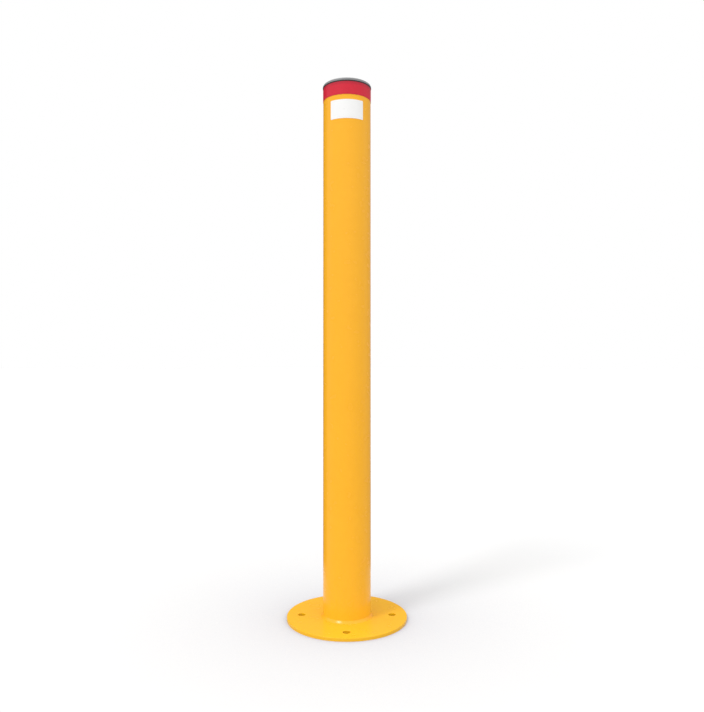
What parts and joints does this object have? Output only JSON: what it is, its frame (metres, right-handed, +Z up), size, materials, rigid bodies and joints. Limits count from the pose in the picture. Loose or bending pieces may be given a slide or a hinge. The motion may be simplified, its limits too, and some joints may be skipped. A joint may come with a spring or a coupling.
{
  "type": "surface-mounted bollard",
  "caption": "Upright round steel post on a round base plate with anchor holes, with a push-in plastic cap, a reflective band and a bare label.",
  "frame": {"origin": "centre of the base plate's underside, on the post's axis", "axes": "+Z up along the post; the label faces -Y and the band's lap faces +Y; +X is to the right as one faces the label"},
  "size_m": [0.226, 0.226, 1.0094],
  "materials": {
    "powder_coat": "semi-gloss golden yellow powder coat on steel, with a faint orange peel",
    "cap_plastic": "satin mid-grey moulded plastic, dark down in the set-back line at the head's foot",
    "reflective_sheeting": "red reflective sheeting with a smooth clear face",
    "label_film": "white self-adhesive film, bare"
  },
  "bodies": {
    "root": {"post_tube": "powder_coat", "base_plate": "powder_coat", "base_weld": "powder_coat", "top_cap": "cap_plastic", "reflective_band": "reflective_sheeting", "blank_label": "label_film"}
  },
  "joints": []
}
